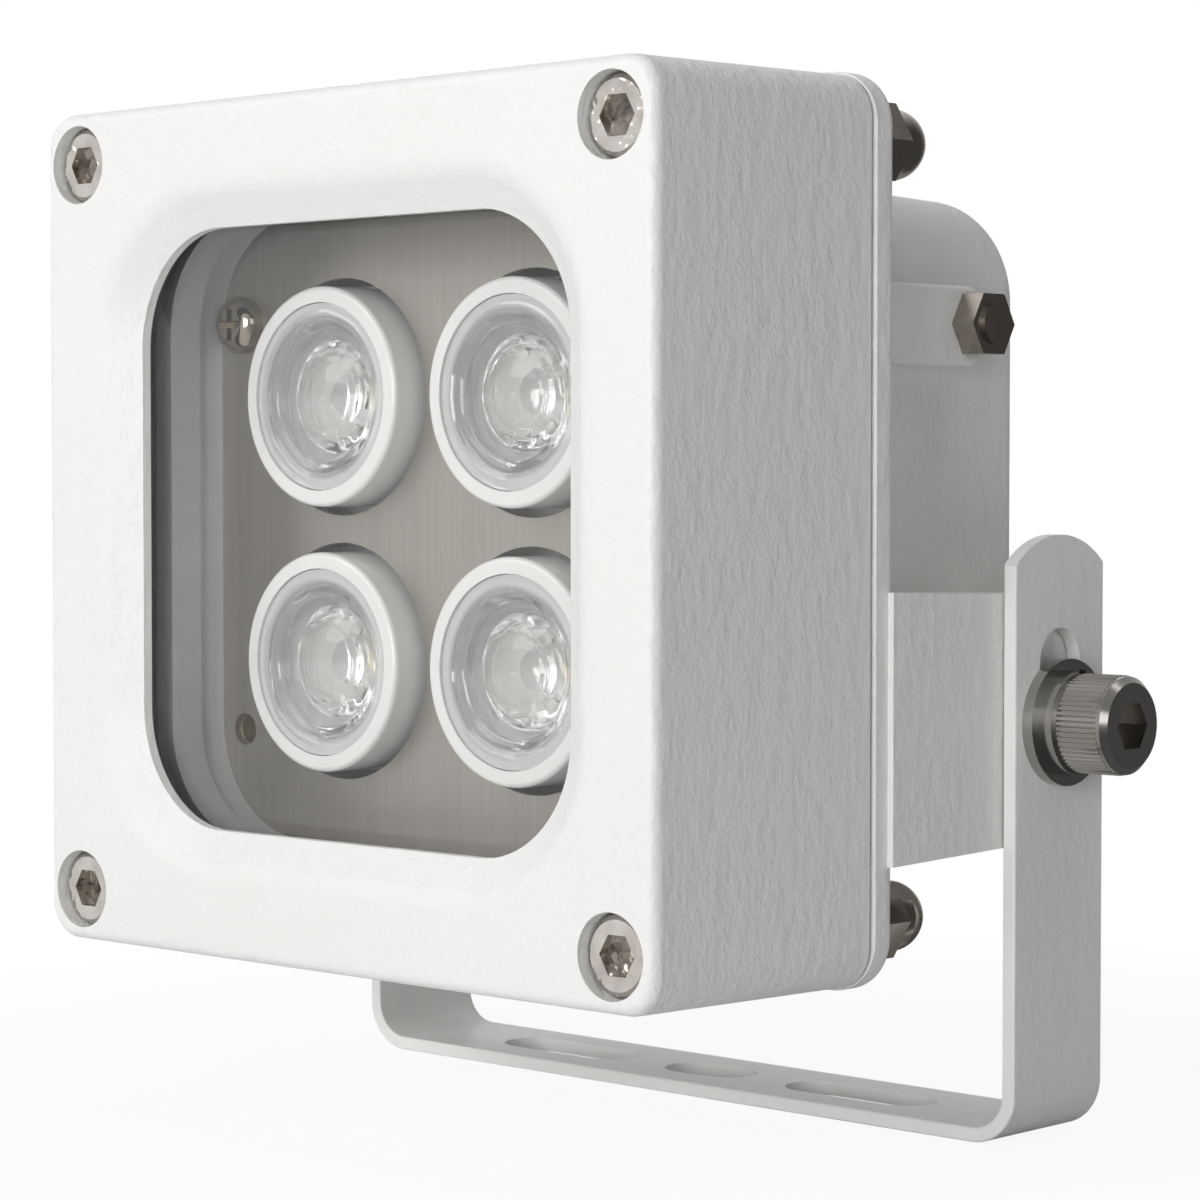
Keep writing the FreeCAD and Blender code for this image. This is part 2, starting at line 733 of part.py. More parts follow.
def build_mask_plate():
    """The brushed plate round the lenses, on hexagonal pillars, held by two pan screws."""
    body = new_body("mask_plate")
    sketch = front_sketch(body, PLATE_FRONT)
    outer_corner = "(dims.pocket_corner - dims.window_play)"
    draw_square(sketch, "dims.pocket_width - 2 * dims.window_play", outer_corner)
    draw_four_circles(sketch, "dims.plate_hole", "dims.lens_pitch / 2", "dims.lens_pitch / 2")
    clear = "dims.pillar_stud + dims.pan_hole_play"
    draw_four_circles(sketch, clear, "dims.pillar_across", "dims.pillar_up")
    pad(body, sketch, "dims.plate_thick", reverse=True)

    body = new_body("mask_pillars")
    sketch = front_sketch(body, PLATE_REAR, "dims.pillar_across", "dims.pillar_up")
    draw_hexagon(sketch, "dims.pillar_hex")
    pad(body, sketch, "dims.pillar_height", reverse=True)
    sketch = front_sketch(body, SPREADER_FRONT, "dims.pillar_across", "dims.pillar_up")
    draw_circle(sketch, "dims.pillar_stud")
    pad(body, sketch, "dims.pillar_stud_length", reverse=True)
    sketch = front_sketch(body, PLATE_REAR, "dims.pillar_across", "dims.pillar_up")
    draw_circle(sketch, "dims.pillar_stud + dims.thread_play")
    pocket(body, sketch, "dims.pillar_bore_depth")
    mirror(body, "YZ_Plane")
    mirror(body, "XY_Plane")

    body = new_body("mask_screws")
    shank = "dims.pillar_stud / 2"
    head = "dims.pan_head / 2"
    top = f"({PLATE_FRONT} - dims.pan_height)"
    side = f"({PLATE_FRONT} - dims.pan_side)"
    sketch = new_sketch(body, "XY_Plane", "dims.pillar_up", "-dims.pillar_across")
    draw_outline(sketch, [
        ("0", top),
        ("0", f"{PLATE_FRONT} + dims.pan_length"),
        (shank, f"{PLATE_FRONT} + dims.pan_length"),
        (shank, PLATE_FRONT),
        (head, PLATE_FRONT),
        (head, side),
        ("dims.pan_crown / 2", top),
    ], {5: ("dims.pan_round", -1)})
    revolve(body, sketch)
    sketch = front_sketch(body, top, "-dims.pillar_across", "dims.pillar_up")
    arm, slim = "dims.cross_length / 2", "dims.cross_width / 2"
    draw_outline(sketch, [
        (arm, f"-{slim}"), (arm, slim), (slim, slim), (slim, arm),
        (f"-{slim}", arm), (f"-{slim}", slim), (f"-{arm}", slim), (f"-{arm}", f"-{slim}"),
        (f"-{slim}", f"-{slim}"), (f"-{slim}", f"-{arm}"), (slim, f"-{arm}"), (slim, f"-{slim}"),
    ])
    pocket(body, sketch, "dims.cross_depth")
    turn_copies(body, 2)


def build_optic(number_of, across, up):
    """One light point: emitter, collimating lens and the moulded holder round it."""
    place = dict(across=f"{across}dims.lens_pitch / 2", up=f"({up}dims.lens_pitch / 2)")

    body = new_body(f"led_emitter_{number_of}", **place)
    sketch = front_sketch(body, BOARD_FRONT)
    half = "dims.emitter_width / 2"
    draw_block(sketch, f"-{half}", half, f"-{half}", half)
    pad(body, sketch, "dims.emitter_base")
    dome = "dims.emitter_dome / 2"
    seat = f"({BOARD_FRONT} - dims.emitter_base)"
    sketch = new_sketch(body, "XY_Plane")
    draw_outline(sketch, [("0", f"{seat} - {dome}"), ("0", seat), (dome, seat)], {2: (dome, -1)})
    revolve(body, sketch)

    body = new_body(f"lens_holder_{number_of}", **place)
    outer = "dims.holder_outer / 2"
    inner = f"({outer} - dims.holder_wall)"
    shelf = f"({inner} - dims.holder_shelf)"
    foot = "dims.holder_foot_opening / 2"
    shelf_rear = f"({SHELF_FRONT} + dims.holder_rim)"
    sketch = new_sketch(body, "XY_Plane")
    draw_outline(sketch, [
        (f"{outer} - dims.holder_rim / 2", RIM_FRONT),
        (outer, f"{RIM_FRONT} + dims.holder_rim / 2"),
        (outer, BOARD_FRONT),
        (foot, BOARD_FRONT),
        (foot, f"{BOARD_FRONT} - dims.holder_rim"),
        (shelf, shelf_rear),
        (shelf, SHELF_FRONT),
        (inner, SHELF_FRONT),
        (inner, RIM_FRONT),
    ], {0: ("dims.holder_rim / 2", 1)})
    revolve(body, sketch)

    body = new_body(f"lens_{number_of}", **place)
    rim = f"({inner} - dims.lens_play)"
    neck = f"({shelf} - dims.lens_play)"
    front = f"({SHELF_FRONT} - dims.lens_flange_thick)"
    well = "dims.lens_well_width / 2"
    well_floor = f"({front} + dims.lens_well_depth)"
    dome_top = f"({well_floor} - dims.lens_dome_height)"
    throat = f"({SHELF_FRONT} + dims.lens_body_height)"
    dome_round = f"(({well})^2 + dims.lens_dome_height^2) / (2 * dims.lens_dome_height)"
    sketch = new_sketch(body, "XY_Plane")
    draw_outline(sketch, [
        ("0", dome_top),
        ("0", f"{throat} - dims.lens_eye_depth"),
        ("dims.lens_eye_top / 2", f"{throat} - dims.lens_eye_depth"),
        ("dims.lens_eye / 2", throat),
        ("dims.lens_foot / 2", throat),
        (neck, f"{shelf_rear} - dims.holder_rim / 2"),
        (neck, SHELF_FRONT),
        (rim, SHELF_FRONT),
        (rim, front),
        (f"{rim} - dims.lens_ring", front),
        (f"{well} + dims.lens_step", f"{front} + dims.lens_step_drop"),
        (well, well_floor),
    ], {4: ("dims.lens_body_round", -1), 11: (dome_round, -1)})
    revolve(body, sketch)


def build_light_board():
    """The aluminium-cored board, its screws and the heat spreader plate behind it."""
    body = new_body("led_board")
    sketch = front_sketch(body, BOARD_FRONT)
    draw_square(sketch, "dims.board_width", "dims.board_corner")
    draw_circle(sketch, "dims.lead_hole")
    hole = "dims.small_shank + dims.thread_play"
    for sign in ("", "-"):
        draw_circle(sketch, hole, f"{sign}dims.board_screw_offset", "0")
        draw_circle(sketch, hole, "0", f"{sign}dims.board_screw_offset")
    pad(body, sketch, "dims.board_thick", reverse=True)

    build_small_screws("board_screws", BOARD_FRONT, "dims.board_screw_length",
                       "0", "dims.board_screw_offset")
    turn_copies(bodies[-1], 4)

    body = new_body("heat_spreader")
    sketch = front_sketch(body, SPREADER_FRONT)
    corner = "(dims.pocket_corner - dims.spreader_play)"
    draw_square(sketch, "dims.pocket_width - 2 * dims.spreader_play", corner)
    draw_circle(sketch, "dims.lead_hole")
    clear = "dims.pillar_stud + dims.pan_hole_play"
    draw_four_circles(sketch, clear, "dims.pillar_across", "dims.pillar_up")
    for sign in ("", "-"):
        draw_circle(sketch, hole, f"{sign}dims.board_screw_offset", "0")
        draw_circle(sketch, hole, "0", f"{sign}dims.board_screw_offset")
    pad(body, sketch, "dims.spreader_thick", reverse=True)


def build_small_screws(name, seat, length, across, up):
    """A small cylinder-headed screw along Y; seat is the depth of the face under its head."""
    body = new_body(name)
    shank = "dims.small_shank / 2"
    head = "dims.small_head / 2"
    top = f"({seat} - dims.small_head_height)"
    sketch = new_sketch(body, "XY_Plane", up, across)
    draw_outline(sketch, [
        ("0", top),
        ("0", f"{seat} + {length}"),
        (shank, f"{seat} + {length}"),
        (shank, seat),
        (head, seat),
        (head, f"{top} + dims.small_head_edge"),
        (f"{head} - dims.small_head_edge", top),
    ])
    revolve(body, sketch)


def build_seal():
    """The flat rubber seal between the housing and the rear cover."""
    body = new_body("housing_seal")
    sketch = front_sketch(body, "dims.housing_depth")
    draw_square(sketch, "dims.face_width - 2 * dims.seal_set_back", "dims.housing_corner")
    draw_square(sketch, "dims.pocket_width", "dims.pocket_corner")
    place = "dims.screw_pitch / 2"
    draw_four_circles(sketch, "dims.screw_shank + dims.screw_hole_play", place, place)
    pad(body, sketch, "dims.seal_thick", reverse=True)


def build_rear_cover():
    """The second casting: a screwed flange, a drafted rear box and the two tilt bosses."""
    body = new_body("rear_cover")
    sketch = front_sketch(body, FLANGE_FRONT)
    draw_square(sketch, "dims.flange_width", "dims.flange_corner")
    pad(body, sketch, "dims.flange_thick", reverse=True)
    rear = number(FLANGE_REAR)
    rim = edges_where(body.Tip, lambda box: flat_at(box.YMin, box.YMax, rear))
    soften(body, "Fillet", rim, "dims.flange_edge")

    sketch = front_sketch(body, FLANGE_REAR)
    side, top, bottom = "dims.box_width / 2", "dims.box_top", "-dims.box_bottom"
    draw_panel(sketch, f"-{side}", side, bottom, top, "dims.box_bottom_corner", "dims.box_top_corner")
    pad(body, sketch, "dims.box_depth", reverse=True, taper="-dims.box_draft")
    reach = number(side) + CLOSE
    root = edges_where(body.Tip, lambda box: flat_at(box.YMin, box.YMax, rear)
                       and max(abs(box.XMin), box.XMax) < reach)
    soften(body, "Fillet", root, "dims.box_root_round")
    back = number(BOX_REAR)
    rim = edges_where(body.Tip, lambda box: flat_at(box.YMin, box.YMax, back))
    soften(body, "Fillet", rim, "dims.box_rear_round")

    # The two tilt bosses, one block through the box before it is hollowed
    sketch = new_sketch(body, "YZ_Plane")
    high, low = f"{PIVOT_UP} + dims.boss_rise", f"{PIVOT_UP} - dims.boss_drop"
    end = "dims.pivot_depth + dims.boss_behind"
    start = f"{FLANGE_REAR} - dims.flange_edge"
    draw_outline(sketch, [
        (start, low),
        (end, f"{low} + dims.boss_slope"),
        (end, f"{high} - dims.boss_slope"),
        (start, high),
    ])
    pad(body, sketch, "dims.boss_face_width", both=True)
    boss_face, boss_end = number(BOSS_FACE), number(end)
    corners = edges_where(body.Tip, lambda box: flat_at(box.YMin, box.YMax, boss_end)
                          and (flat_at(box.XMin, box.XMax, boss_face)
                               or flat_at(box.XMin, box.XMax, -boss_face)))
    soften(body, "Fillet", corners, "dims.boss_edge")

    # The ledge for the earth terminal
    start = "(dims.box_width / 2 - dims.box_wall / 2)"
    sketch = new_sketch(body, "YZ_Plane", start)
    ledge_end = f"({FLANGE_REAR} + dims.ledge_length)"
    draw_outline(sketch, [
        (f"{FLANGE_REAR} - dims.flange_thick / 2", "dims.ledge_low"),
        (f"{ledge_end} - dims.ledge_end_round", "dims.ledge_low"),
        (ledge_end, "dims.ledge_low + dims.ledge_end_round"),
        (ledge_end, "dims.ledge_high - dims.ledge_end_round"),
        (f"{ledge_end} - dims.ledge_end_round", "dims.ledge_high"),
        (f"{FLANGE_REAR} - dims.flange_thick / 2", "dims.ledge_high"),
    ], {1: ("dims.ledge_end_round", 1), 3: ("dims.ledge_end_round", 1)})
    pad(body, sketch, f"{LEDGE_FACE} - {start}")
    ledge_face = number(LEDGE_FACE)
    brow = edges_where(body.Tip, lambda box: flat_at(box.XMin, box.XMax, ledge_face)
                       and box.YMax > rear + CLOSE)
    soften(body, "Fillet", brow, "dims.ledge_edge")

    # The flat pad for the cable gland
    sketch = new_sketch(body, "XY_Plane", GLAND_FACE)
    draw_circle(sketch, "dims.gland_pad", "0", GLAND_DEPTH)
    pad(body, sketch, "dims.gland_face - dims.box_bottom + dims.box_wall")

    # The hollow inside, with the same draft as the outside
    inset = "dims.box_wall"
    sketch = front_sketch(body, FLANGE_FRONT)
    draw_panel(sketch, f"-({side} - {inset})", f"({side} - {inset})",
               f"({bottom} + {inset})", f"({top} - {inset})",
               f"(dims.box_bottom_corner - {inset})", f"(dims.box_top_corner - {inset})")
    pocket(body, sketch, f"{BOX_FLOOR} - {FLANGE_FRONT}", taper="-dims.box_draft")

    # Cast posts: four for the light engine, joined to the side walls, and four for the driver
    sketch = front_sketch(body, POST_FRONT)
    draw_four_circles(sketch, "dims.post_width", "dims.pillar_across", "dims.pillar_up")
    pad(body, sketch, f"{BOX_FLOOR} - {POST_FRONT} + dims.box_wall / 2", reverse=True)
    for sign in ("", "-"):
        for level in ("", "-"):
            sketch = front_sketch(body, FLANGE_REAR, "0", f"{level}dims.pillar_up")
            web = "dims.post_web / 2"
            near, far = "dims.pillar_across", "dims.web_reach"
            if sign:
                near, far = f"-{far}", f"-{near}"
            draw_block(sketch, near, far, f"-{web}", web)
            pad(body, sketch, f"{BOX_FLOOR} - {FLANGE_REAR} + dims.box_wall / 2", reverse=True)
    sketch = front_sketch(body, DRIVER_REAR)
    draw_four_circles(sketch, "dims.driver_post", "dims.driver_post_across", "dims.driver_post_up")
    pad(body, sketch, "dims.driver_post_height + dims.box_wall / 2", reverse=True)

    # Screw holes in the posts and the flange
    sketch = front_sketch(body, POST_FRONT)
    draw_four_circles(sketch, "dims.pillar_stud + dims.thread_play", "dims.pillar_across", "dims.pillar_up")
    pocket(body, sketch, "dims.pillar_stud_length - dims.spreader_thick + dims.spare_depth")
    sketch = front_sketch(body, DRIVER_REAR)
    tapped = "dims.small_shank + dims.thread_play"
    draw_four_circles(sketch, tapped, "dims.driver_post_across", "dims.driver_post_up")
    pocket(body, sketch, "dims.driver_screw_length - dims.driver_thick + dims.spare_depth")
    sketch = front_sketch(body, FLANGE_FRONT)
    place = "dims.screw_pitch / 2"
    draw_four_circles(sketch, "dims.screw_shank + dims.screw_hole_play", place, place)
    pocket(body, sketch)

    # Threaded holes for the clamp screws, the earth bolt and the gland
    for out, reverse in ((BOSS_FACE, False), (f"-{BOSS_FACE}", True)):
        sketch = new_sketch(body, "YZ_Plane", out)
        draw_circle(sketch, "dims.clamp_shank + dims.thread_play", "dims.pivot_depth", PIVOT_UP)
        pocket(body, sketch, "dims.clamp_hole_depth", reverse=reverse)
    sketch = new_sketch(body, "YZ_Plane", LEDGE_FACE)
    draw_circle(sketch, "dims.earth_shank + dims.thread_play", EARTH_DEPTH, "dims.earth_up")
    pocket(body, sketch, "dims.earth_hole_depth")
    sketch = new_sketch(body, "XY_Plane", GLAND_FACE)
    draw_circle(sketch, "dims.gland_thread + dims.thread_play", "0", GLAND_DEPTH)
    pocket(body, sketch, "dims.gland_face - dims.box_bottom + 2 * dims.box_wall", reverse=True)


def build_corner_fasteners():
    """Cap screws from the front, and a washer and domed nut behind the flange."""
    place = "dims.screw_pitch / 2"
    seat = "dims.counterbore_depth"
    top = f"({seat} - dims.screw_head_height)"
    shank, head, edge = "dims.screw_shank / 2", "dims.screw_head / 2", "dims.screw_head_edge"
    body = new_body("housing_screws")
    sketch = new_sketch(body, "XY_Plane", place, place)
    draw_outline(sketch, [
        ("0", top),
        ("0", f"{seat} + dims.screw_length"),
        (shank, f"{seat} + dims.screw_length"),
        (shank, seat),
        (head, seat),
        (head, f"{top} + {edge}"),
        (f"{head} - {edge}", top),
    ])
    revolve(body, sketch)
    sketch = front_sketch(body, top, place, place)
    draw_hexagon(sketch, "dims.screw_key")
    pocket(body, sketch, "dims.screw_key_depth")
    mirror(body, "YZ_Plane")
    mirror(body, "XY_Plane")

    body = new_body("nut_washers")
    sketch = front_sketch(body, FLANGE_REAR)
    draw_four_circles(sketch, "dims.nut_washer_outer", place, place)
    draw_four_circles(sketch, "dims.screw_shank + dims.washer_bore_play", place, place)
    pad(body, sketch, "dims.nut_washer_thick", reverse=True)

    body = new_body("domed_nuts")
    start = "dims.nut_start"
    sketch = front_sketch(body, start, place, place)
    draw_hexagon(sketch, "dims.nut_across")
    pad(body, sketch, "dims.nut_hex_height", reverse=True)
    dome = "dims.nut_dome / 2"
    shoulder = f"({start} + dims.nut_height - {dome})"
    sketch = new_sketch(body, "XY_Plane", place, place)
    draw_outline(sketch, [
        ("0", f"{start} + dims.nut_height"),
        ("0", f"{start} + dims.nut_hex_height / 2"),
        (dome, f"{start} + dims.nut_hex_height / 2"),
        (dome, shoulder),
    ], {3: (dome, 1)})
    revolve(body, sketch)
    sketch = front_sketch(body, start, place, place)
    draw_circle(sketch, "dims.screw_shank + dims.thread_play")
    pocket(body, sketch, "dims.nut_bore_depth")
    mirror(body, "YZ_Plane")
    mirror(body, "XY_Plane")


def build_earth_bolt():
    """The hexagon bolt of the earth terminal, with its raised button."""
    body = new_body("earth_bolt")
    sketch = new_sketch(body, "YZ_Plane", LEDGE_FACE, EARTH_DEPTH, "dims.earth_up")
    draw_hexagon(sketch, "dims.earth_across")
    pad(body, sketch, "dims.earth_head_height")
    head_face = f"{LEDGE_FACE} + dims.earth_head_height"
    sketch = new_sketch(body, "YZ_Plane", head_face, EARTH_DEPTH, "dims.earth_up")
    draw_circle(sketch, "dims.earth_button")
    pad(body, sketch, "dims.earth_button_height")
    sketch = new_sketch(body, "YZ_Plane", LEDGE_FACE, EARTH_DEPTH, "dims.earth_up")
    draw_circle(sketch, "dims.earth_shank")
    pad(body, sketch, "dims.earth_length", reverse=True)


def build_gland():
    """The cable gland under the box: seal, threaded body, rubber bush and cap nut."""
    seal_low = f"({GLAND_FACE} - dims.gland_seal_thick)"
    hex_low = f"({seal_low} - dims.gland_hex_height)"
    neck_low = f"({hex_low} - dims.gland_neck_length)"

    body = new_body("gland_seal")
    sketch = new_sketch(body, "XY_Plane", seal_low, "0", GLAND_DEPTH)
    draw_circle(sketch, "dims.gland_seal_outer")
    draw_circle(sketch, "dims.gland_thread + dims.thread_play")
    pad(body, sketch, "dims.gland_seal_thick")

    body = new_body("gland_body")
    sketch = new_sketch(body, "XY_Plane", hex_low, "0", GLAND_DEPTH)
    draw_hexagon(sketch, "dims.gland_across")
    pad(body, sketch, "dims.gland_hex_height")
    sketch = new_sketch(body, "XY_Plane", hex_low, "0", GLAND_DEPTH)
    draw_circle(sketch, "dims.gland_thread")
    pad(body, sketch, "dims.gland_hex_height + dims.gland_stub")
    sketch = new_sketch(body, "XY_Plane", hex_low, "0", GLAND_DEPTH)
    draw_circle(sketch, "dims.gland_neck")
    pad(body, sketch, "dims.gland_neck_length", reverse=True)
    sketch = new_sketch(body, "XY_Plane", neck_low, "0", GLAND_DEPTH)
    draw_circle(sketch, "dims.gland_bore")
    pocket(body, sketch, reverse=True)
    sketch = new_sketch(body, "XY_Plane", neck_low, "0", GLAND_DEPTH)
    draw_circle(sketch, "dims.bush_outer + dims.bush_play")
    pocket(body, sketch, "dims.bush_length", reverse=True)

    body = new_body("gland_bush")
    sketch = new_sketch(body, "XY_Plane", neck_low, "0", GLAND_DEPTH)
    draw_circle(sketch, "dims.bush_outer")
    draw_circle(sketch, "dims.bush_inner")
    pad(body, sketch, "dims.bush_length")

    body = new_body("gland_nut")
    nut_low = f"({neck_low} - dims.gland_nut_lip)"
    sketch = new_sketch(body, "XY_Plane", nut_low, "0", GLAND_DEPTH)
    draw_hexagon(sketch, "dims.gland_across")
    pad(body, sketch, "dims.gland_nut_height")
    lowest = number(nut_low)
    foot = edges_where(body.Tip, lambda box: flat_at(box.ZMin, box.ZMax, lowest))
    soften(body, "Chamfer", foot, "dims.gland_nut_edge")
    sketch = new_sketch(body, "XY_Plane", neck_low, "0", GLAND_DEPTH)
    draw_circle(sketch, "dims.gland_neck + dims.thread_play")
    pocket(body, sketch, reverse=True)
    sketch = new_sketch(body, "XY_Plane", nut_low, "0", GLAND_DEPTH)
    draw_circle(sketch, "dims.gland_bore")
    pocket(body, sketch, reverse=True)


def build_driver():
    """The driver board on its posts, with its parts and the leads to the light board."""
    across, up = "dims.driver_post_across", "dims.driver_post_up"
    body = new_body("driver_board")
    sketch = front_sketch(body, DRIVER_FRONT)
    half_width, half_height = "dims.driver_width / 2", "dims.driver_height / 2"
    draw_block(sketch, f"-{half_width}", half_width, f"-{half_height}", half_height)
    draw_four_circles(sketch, "dims.small_shank + dims.thread_play", across, up)
    pad(body, sketch, "dims.driver_thick", reverse=True)

    build_small_screws("driver_screws", DRIVER_FRONT, "dims.driver_screw_length", across, up)
    mirror(bodies[-1], "YZ_Plane")
    mirror(bodies[-1], "XY_Plane")

    def block(name, width, height, depth, along):
        piece = new_body(name)
        outline = front_sketch(piece, DRIVER_FRONT, along)
        draw_block(outline, f"-{width} / 2", f"{width} / 2", f"-{height} / 2", f"{height} / 2")
        pad(piece, outline, depth)

    block("terminal_block", "dims.terminal_width", "dims.terminal_height", "dims.terminal_depth", "0")
    block("driver_choke", "dims.choke_width", "dims.choke_width", "dims.choke_depth", "-dims.choke_across")

    body = new_body("driver_capacitors")
    sketch = front_sketch(body, DRIVER_FRONT)
    for level in ("", "-"):
        draw_circle(sketch, "dims.capacitor_width", "dims.capacitor_across", f"{level}dims.capacitor_up")
    pad(body, sketch, "dims.capacitor_depth")

    for name, sign in (("lead_positive", ""), ("lead_negative", "-")):
        build_lead(name, sign)


def build_lead(name, sign):
    """A lead from the terminal block through both plates, laid over onto the light board."""
    body = new_body(name)
    start = f"({DRIVER_FRONT} - dims.terminal_depth)"
    level = f"({BOARD_FRONT} - dims.lead_lift - dims.lead_width / 2)"
    path = new_sketch(body, "XY_Plane")
    near = f"{sign}dims.lead_across"
    turned = f"{sign}(dims.lead_across + dims.lead_bend)"
    far = f"{sign}dims.lead_reach"
    places = [Vector(number(x), number(y), 0) for x, y in
              ((near, start), (near, f"{level} + dims.lead_bend"), (turned, level), (far, level))]
    radius = number("dims.lead_bend")
    centre = Vector(places[2].x, places[1].y, 0)
    middle = centre + (places[1] - centre + places[2] - centre).normalize() * radius
    straight = path.addGeometry(Part.LineSegment(places[0], places[1]))
    bend = path.addGeometry(Part.Arc(places[1], middle, places[2]))
    landing = path.addGeometry(Part.LineSegment(places[2], places[3]))
    first, last = (2, 1) if sign else (1, 2)
    rules = [rule("Coincident", straight, 2, bend, first), rule("Coincident", bend, last, landing, 1)]
    rules += pin(straight, 1, near, start) + pin(straight, 2, near, f"{level} + dims.lead_bend")
    rules += pin(landing, 1, turned, level) + pin(landing, 2, far, level)
    rules.append(measure("dims.lead_bend", "Radius", bend))
    constrain(path, rules)
    section = front_sketch(body, start, near)
    draw_circle(section, "dims.lead_width")
    pipe = body.newObject("PartDesign::AdditivePipe", f"{name}_pipe")
    pipe.Profile = section
    pipe.Spine = (path, [])
    doc.recompute()


build_bracket()
build_clamp("right", left=False)
build_clamp("left", left=True)
build_front_housing()
build_window()
build_mask_plate()
for count, (sign_across, sign_up) in enumerate((("-", ""), ("", ""), ("-", "-"), ("", "-")), start=1):
    build_optic(count, sign_across, sign_up)
build_light_board()
build_seal()
build_rear_cover()
build_corner_fasteners()
build_earth_bolt()
build_gland()
build_driver()
doc.recompute()

# Every object has to be sound, and every cut has to take material away, before anything is written
failed = [item.Label for item in doc.Objects if "Invalid" in item.State or "Error" in item.State]
if failed:
    raise RuntimeError(f"these failed: {failed}")
for body in bodies:
    if body.Shape.isNull() or not body.Shape.isValid():
        raise RuntimeError(f"{body.Label} has no valid shape")
    before = None
    for feature in body.Group:
        if not hasattr(feature, "Shape") or feature.TypeId == "Sketcher::SketchObject":
            continue
        volume = feature.Shape.Volume
        if feature.TypeId == "PartDesign::Pocket" and volume > before - 1e-6:
            raise RuntimeError(f"{feature.Label} cuts nothing")
        if feature.TypeId == "PartDesign::Pad" and before is not None and volume < before + 1e-6:
            raise RuntimeError(f"{feature.Label} adds nothing")
        before = volume

os.makedirs("parts", exist_ok=True)
for body in bodies:
    body.Shape.exportStep(os.path.join("parts", f"{body.Label}.step"))
    print(body.Label, len(body.Shape.Solids), round(body.Shape.Volume, 1))
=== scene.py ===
import bpy
import bmesh
import math

from mathutils import Matrix, Vector


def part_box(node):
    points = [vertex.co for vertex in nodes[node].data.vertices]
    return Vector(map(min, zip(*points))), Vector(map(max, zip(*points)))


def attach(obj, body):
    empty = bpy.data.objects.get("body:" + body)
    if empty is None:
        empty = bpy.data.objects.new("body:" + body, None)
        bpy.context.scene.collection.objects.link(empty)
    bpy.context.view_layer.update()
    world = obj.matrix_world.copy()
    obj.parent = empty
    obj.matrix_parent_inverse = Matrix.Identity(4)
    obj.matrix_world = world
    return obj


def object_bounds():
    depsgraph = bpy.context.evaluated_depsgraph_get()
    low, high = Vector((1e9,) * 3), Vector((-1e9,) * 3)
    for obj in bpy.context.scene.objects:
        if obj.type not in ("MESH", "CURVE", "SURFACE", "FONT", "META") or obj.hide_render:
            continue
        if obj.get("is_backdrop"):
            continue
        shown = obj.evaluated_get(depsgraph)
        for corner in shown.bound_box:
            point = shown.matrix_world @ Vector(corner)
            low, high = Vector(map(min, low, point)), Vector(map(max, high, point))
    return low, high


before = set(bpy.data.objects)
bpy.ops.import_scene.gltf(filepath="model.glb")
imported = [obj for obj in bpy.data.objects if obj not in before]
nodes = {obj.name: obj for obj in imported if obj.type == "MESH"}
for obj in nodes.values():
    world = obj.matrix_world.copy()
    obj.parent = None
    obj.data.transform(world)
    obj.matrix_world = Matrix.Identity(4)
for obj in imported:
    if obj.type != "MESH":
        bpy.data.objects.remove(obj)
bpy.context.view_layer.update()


# U bracket. One strip of 20 x 2 mm steel, punched with its slots and folded into a U, then
# powder coated white. Bolts through its base hold the lamp to a wall or a pole arm.


class Wire:
    """The output of a node; Python's own signs on it add Math nodes."""

    def __init__(self, tree, output):
        self.tree, self.output = tree, output

    def maths(self, operation, first, second):
        return add_node(self.tree, "ShaderNodeMath", {"operation": operation}, {0: first, 1: second})

    def __add__(self, other):
        return self.maths("ADD", self, other)

    def __sub__(self, other):
        return self.maths("SUBTRACT", self, other)

    def __rsub__(self, other):
        return self.maths("SUBTRACT", other, self)

    def __mul__(self, other):
        return self.maths("MULTIPLY", self, other)

    def __truediv__(self, other):
        return self.maths("DIVIDE", self, other)

    def __pow__(self, other):
        return self.maths("POWER", self, other)

    def __gt__(self, other):
        return self.maths("GREATER_THAN", self, other)

    __radd__ = __add__
    __rmul__ = __mul__


def add_node(tree, kind, settings=None, sockets=None, out=0):
    """A node of this kind, its settings made first and then the values or wires of its sockets."""
    made = tree.nodes.new(kind)
    for name, value in (settings or {}).items():
        setattr(made, name, value)
    for name, value in (sockets or {}).items():
        if isinstance(value, Wire):
            tree.links.new(value.output, made.inputs[name])
        else:
            made.inputs[name].default_value = value
    return Wire(tree, made.outputs[out]) if made.outputs else None


